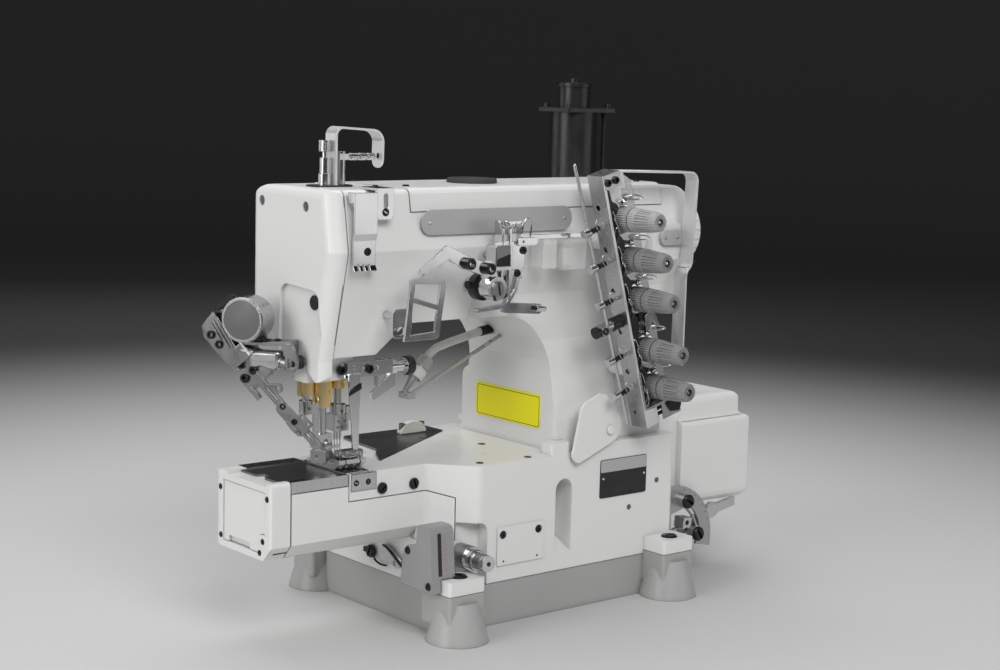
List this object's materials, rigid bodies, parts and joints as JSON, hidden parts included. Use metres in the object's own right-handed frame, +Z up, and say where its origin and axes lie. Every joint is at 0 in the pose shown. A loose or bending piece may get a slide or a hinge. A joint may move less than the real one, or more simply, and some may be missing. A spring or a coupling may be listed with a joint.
{
  "type": "sewing machine",
  "caption": "Cylinder-bed coverstitch sewing machine head with motor, thread tension group, thread wiper and foot lifter.",
  "frame": {"origin": "centre of the base pan's flat underside", "axes": "+X along the arm from the needle end to the handwheel end, +Y away from the operator, +Z up"},
  "size_m": [0.5462, 0.283, 0.468],
  "materials": {
    "painted_casting": "semi-gloss light grey-white stove enamel",
    "base_grey": "satin grey enamel",
    "motor_white": "semi-gloss",
    "dark_steel": "dark oxide, satin",
    "bright_steel": "ground and polished",
    "spring_steel": "drawn wire",
    "cast_grey": "satin grey",
    "chrome_guides": "polished plate",
    "satin_steel": "satin plated",
    "brass": "machined",
    "belt_rubber": "matte",
    "handwheel_plastic": "semi-gloss",
    "knob_plastic": "satin grey",
    "oiled_steel": "satin oiled steel",
    "black_paint": "semi-gloss black",
    "hose_white": "translucent white tube"
  },
  "bodies": {
    "machine_frame": {"bed_casting": "painted_casting", "base_pan": "base_grey", "arm_casting": "painted_casting", "top_cover": "painted_casting", "face_cover": "painted_casting", "front_bed_cover": "painted_casting", "bed_end_cap": "painted_casting", "bed_end_panel": "painted_casting", "slide_rails": "bright_steel", "needle_plate": "bright_steel", "cloth_wing": "dark_steel", "access_cover": "painted_casting", "motor_cover": "motor_white", "motor_stator": "dark_steel", "timing_belt": "belt_rubber", "bar_bushes": "brass", "head_plate": "chrome_guides", "presser_spring": "spring_steel", "differential_bracket": "cast_grey", "lever_sector": "oiled_steel", "foot_solenoid": "black_paint", "tension_bracket": "satin_steel", "tension_posts": "chrome_guides", "knob_guard": "satin_steel", "thread_rod": "bright_steel", "take_up_guides": "chrome_guides", "take_up_guard": "chrome_guides", "head_guide": "chrome_guides", "wiper_bracket": "oiled_steel", "wiper_solenoid": "satin_steel", "air_nozzle": "chrome_guides", "air_hose": "hose_white"},
    "slide_plate": {"slide_plate": "dark_steel"},
    "swing_guard": {"swing_guard": "painted_casting"},
    "upper_drive": {"upper_shaft": "bright_steel", "handwheel": "handwheel_plastic", "needle_crank": "cast_grey"},
    "lower_drive": {"lower_shaft": "bright_steel"},
    "needle_bar": {"needle_bar": "bright_steel", "needle_clamp": "bright_steel", "needles": "bright_steel"},
    "needle_link": {"needle_link": "bright_steel"},
    "presser_bar": {"presser_bar": "bright_steel", "presser_foot": "bright_steel"},
    "presser_screw": {"presser_screw": "bright_steel"},
    "spreader": {"spreader": "bright_steel"},
    "looper": {"looper": "bright_steel"},
    "main_feed_dog": {"main_feed_dog": "bright_steel"},
    "differential_dog": {"differential_dog": "bright_steel"},
    "differential_nut": {"differential_nut": "bright_steel"},
    "lifter_lever": {"lifter_lever": "cast_grey"},
    "feed_lever": {"feed_lever": "bright_steel"},
    "solenoid_plunger": {"solenoid_plunger": "bright_steel"},
    "take_up_lever": {"take_up_lever": "chrome_guides"},
    "wiper_arm": {"wiper_arm": "satin_steel"},
    "tension_knob_1": {"tension_knob_1": "knob_plastic"},
    "tension_knob_2": {"tension_knob_2": "knob_plastic"},
    "tension_knob_3": {"tension_knob_3": "knob_plastic"},
    "tension_knob_4": {"tension_knob_4": "knob_plastic"},
    "tension_knob_5": {"tension_knob_5": "knob_plastic"}
  },
  "joints": [
    {"name": "slide_plate_travel", "type": "slide", "parent": "machine_frame", "child": "slide_plate", "axis": [-1, 0, 0], "range_m": [0, 0.045]},
    {"name": "swing_guard_pivot", "type": "hinge", "parent": "machine_frame", "child": "swing_guard", "pos_m": [0.047, -0.094, 0.1595], "axis": [0, 1, 0], "range_deg": [0, 75]},
    {"name": "upper_shaft_turn", "type": "hinge", "parent": "machine_frame", "child": "upper_drive", "pos_m": [0, -0.021, 0.328], "axis": [1, 0, 0], "continuous": true},
    {"name": "lower_shaft_turn", "type": "hinge", "parent": "machine_frame", "child": "lower_drive", "pos_m": [0, -0.003, 0.108], "axis": [1, 0, 0], "continuous": true},
    {"name": "needle_bar_stroke", "type": "slide", "parent": "machine_frame", "child": "needle_bar", "axis": [0, 0, 1], "range_m": [-0.0173, 0.0133]},
    {"name": "needle_link_swing", "type": "hinge", "parent": "needle_bar", "child": "needle_link", "pos_m": [-0.1845, -0.021, 0.28442], "axis": [1, 0, 0], "range_deg": [0, 37]},
    {"name": "presser_bar_lift", "type": "slide", "parent": "machine_frame", "child": "presser_bar", "axis": [0, 0, 1], "range_m": [0, 0.007], "deforming": ["presser_spring"]},
    {"name": "presser_screw_turn", "type": "hinge", "parent": "machine_frame", "child": "presser_screw", "pos_m": [-0.211, -0.021, 0.36], "axis": [0, 0, 1], "range_deg": [-720, 720]},
    {"name": "spreader_swing", "type": "hinge", "parent": "machine_frame", "child": "spreader", "pos_m": [-0.227, -0.021, 0.195], "axis": [0, 0, 1], "range_deg": [-15, 6]},
    {"name": "looper_swing", "type": "hinge", "parent": "machine_frame", "child": "looper", "pos_m": [-0.178, -0.02, 0.092], "axis": [0, 1, 0], "range_deg": [-12, 12]},
    {"name": "main_feed_travel", "type": "slide", "parent": "machine_frame", "child": "main_feed_dog", "axis": [0, 1, 0], "range_m": [-0.002, 0.002]},
    {"name": "differential_feed_travel", "type": "slide", "parent": "machine_frame", "child": "differential_dog", "axis": [0, 1, 0], "range_m": [-0.002, 0.002]},
    {"name": "differential_nut_turn", "type": "hinge", "parent": "machine_frame", "child": "differential_nut", "pos_m": [-0.108, -0.1, 0.065], "axis": [0, 1, 0], "range_deg": [-720, 720]},
    {"name": "lifter_lever_turn", "type": "hinge", "parent": "machine_frame", "child": "lifter_lever", "pos_m": [0, 0.02, 0.3], "axis": [1, 0, 0], "range_deg": [-11.6, 0.2]},
    {"name": "feed_lever_turn", "type": "hinge", "parent": "machine_frame", "child": "feed_lever", "pos_m": [0.147, -0.074, 0.042], "axis": [0, 1, 0], "range_deg": [-25, 10]},
    {"name": "plunger_travel", "type": "slide", "parent": "machine_frame", "child": "solenoid_plunger", "axis": [0, 0, 1], "range_m": [-0.0092, 0.0001]},
    {"name": "take_up_lever_swing", "type": "hinge", "parent": "machine_frame", "child": "take_up_lever", "pos_m": [-0.096, -0.1, 0.294], "axis": [0, 1, 0], "range_deg": [-12, 12]},
    {"name": "wiper_arm_swing", "type": "hinge", "parent": "machine_frame", "child": "wiper_arm", "pos_m": [-0.26608, 0.00427, 0.24], "axis": [0.5176, -0.8283, -0.2147], "range_deg": [0, 14]},
    {"name": "tension_knob_1_turn", "type": "hinge", "parent": "machine_frame", "child": "tension_knob_1", "pos_m": [0.04496, -0.12, 0.34801], "axis": [0, 1, 0], "range_deg": [-720, 720]},
    {"name": "tension_knob_2_turn", "type": "hinge", "parent": "machine_frame", "child": "tension_knob_2", "pos_m": [0.05516, -0.12, 0.31244], "axis": [0, 1, 0], "range_deg": [-720, 720]},
    {"name": "tension_knob_3_turn", "type": "hinge", "parent": "machine_frame", "child": "tension_knob_3", "pos_m": [0.06536, -0.12, 0.27687], "axis": [0, 1, 0], "range_deg": [-720, 720]},
    {"name": "tension_knob_4_turn", "type": "hinge", "parent": "machine_frame", "child": "tension_knob_4", "pos_m": [0.07859, -0.12, 0.23073], "axis": [0, 1, 0], "range_deg": [-720, 720]},
    {"name": "tension_knob_5_turn", "type": "hinge", "parent": "machine_frame", "child": "tension_knob_5", "pos_m": [0.08824, -0.12, 0.19709], "axis": [0, 1, 0], "range_deg": [-720, 720]}
  ],
  "couplings": [
    {"joint": "lower_shaft_turn", "follows": "upper_shaft_turn", "ratio": 1},
    {"joint": "differential_feed_travel", "follows": "main_feed_travel", "ratio": 1},
    {"joint": "lifter_lever_turn", "follows": "presser_bar_lift", "rad_per_m": -28.57},
    {"joint": "plunger_travel", "follows": "presser_bar_lift", "ratio": -1.3}
  ]
}
